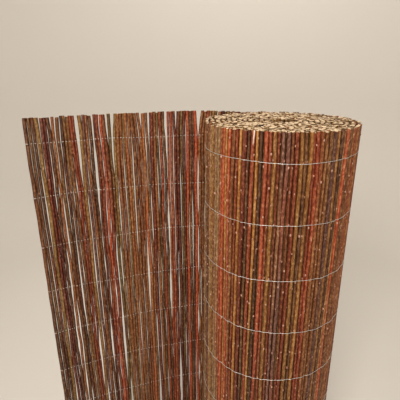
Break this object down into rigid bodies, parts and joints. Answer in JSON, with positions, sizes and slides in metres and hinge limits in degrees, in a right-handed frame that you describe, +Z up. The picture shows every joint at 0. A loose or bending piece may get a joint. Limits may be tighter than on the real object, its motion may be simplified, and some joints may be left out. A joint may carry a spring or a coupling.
{
  "type": "willow screening mat",
  "caption": "Tall willow screening mat of upright rods bound by rows of galvanised wire, standing on end as a partly unrolled roll with one length open for fencing or privacy.",
  "frame": {"origin": "on the ground under the middle of the whole mat", "axes": "+Z up along the rods, -X towards the free edge of the open length, -Y towards the front of the roll"},
  "size_m": [0.5828, 0.2734, 1],
  "materials": {
    "willow": "unpeeled willow bark, satin",
    "wire": "galvanised"
  },
  "bodies": {
    "root": {"open_rods": "willow", "rolled_rods": "willow", "wire_row_01": "wire", "wire_row_02": "wire", "wire_row_03": "wire", "wire_row_04": "wire", "wire_row_05": "wire", "wire_row_06": "wire", "wire_row_07": "wire", "wire_row_08": "wire", "wire_row_09": "wire", "wire_row_10": "wire"}
  },
  "joints": []
}
